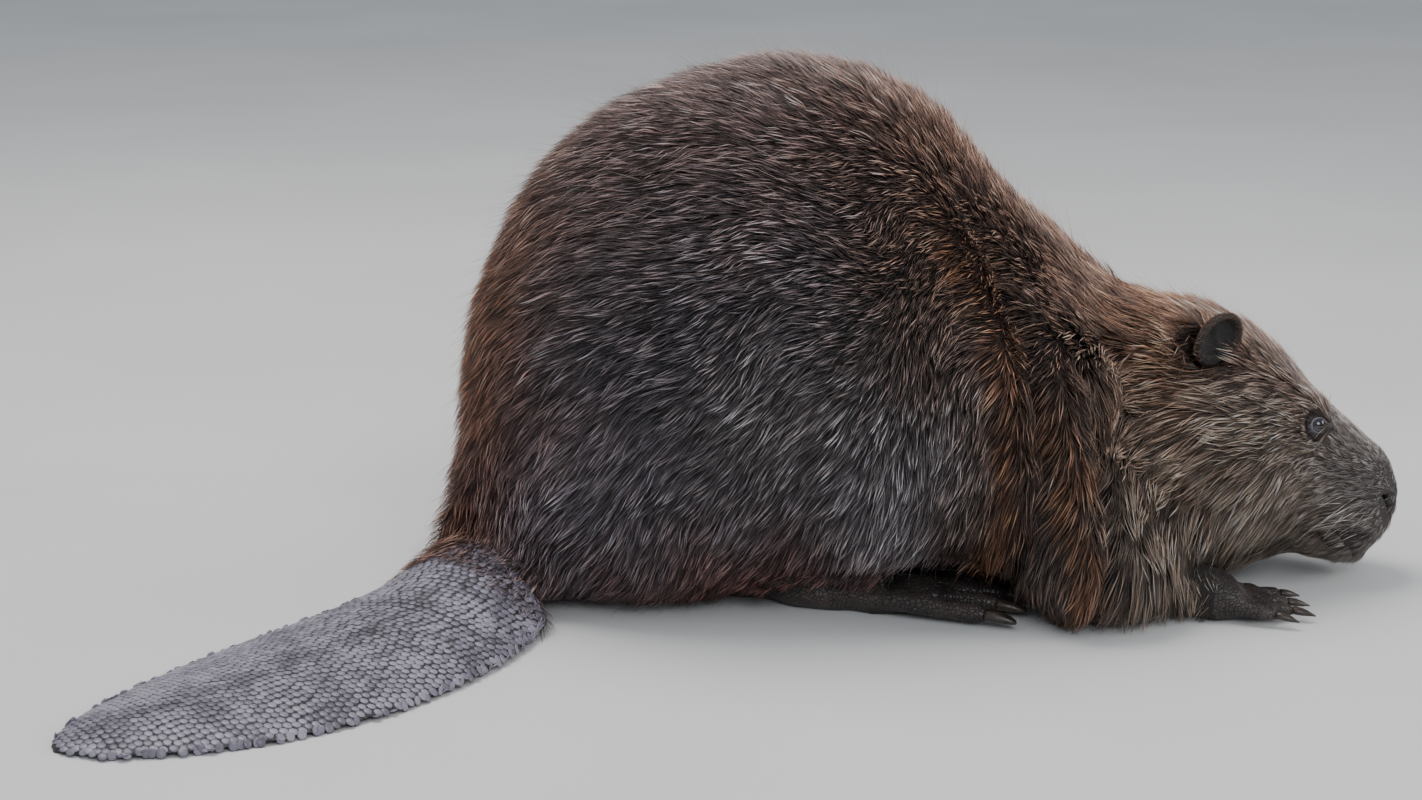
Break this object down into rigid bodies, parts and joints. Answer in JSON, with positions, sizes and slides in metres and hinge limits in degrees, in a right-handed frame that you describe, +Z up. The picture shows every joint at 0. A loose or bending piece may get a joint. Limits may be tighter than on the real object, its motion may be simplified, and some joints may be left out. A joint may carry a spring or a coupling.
{
  "type": "beaver, still life-size model",
  "caption": "Adult Eurasian beaver in a hunched crouch, flat scaly tail laid out to its right, as a still life-size display model.",
  "frame": {"origin": "on the floor, under the middle of the animal's bounding box", "axes": "+X the way the nose points, +Y to the animal's left, +Z up"},
  "size_m": [0.717, 0.4744, 0.3024],
  "materials": {
    "fur": "dense wet guard hair in pointed locks, brown with orange-brown tips and grey flanks",
    "bare_skin": "dark bare or short-haired skin of the ears, hands and webbed feet, with fine creases, and dark horn claws",
    "tail_scales": "grey overlapping horny scales with dark grooves between them",
    "eye": "wet, nearly black glass-like eye"
  },
  "bodies": {
    "root": {"trunk": "fur", "neck": "fur", "head": "fur", "ear_right": "bare_skin", "ear_left": "bare_skin", "eye_right": "eye", "eye_left": "eye", "haunch_right": "fur", "haunch_left": "fur", "hind_foot_right": "bare_skin", "hind_foot_left": "bare_skin", "foreleg_right": "fur", "foreleg_left": "fur", "hand_right": "bare_skin", "hand_left": "bare_skin", "tail": "tail_scales"}
  },
  "joints": []
}
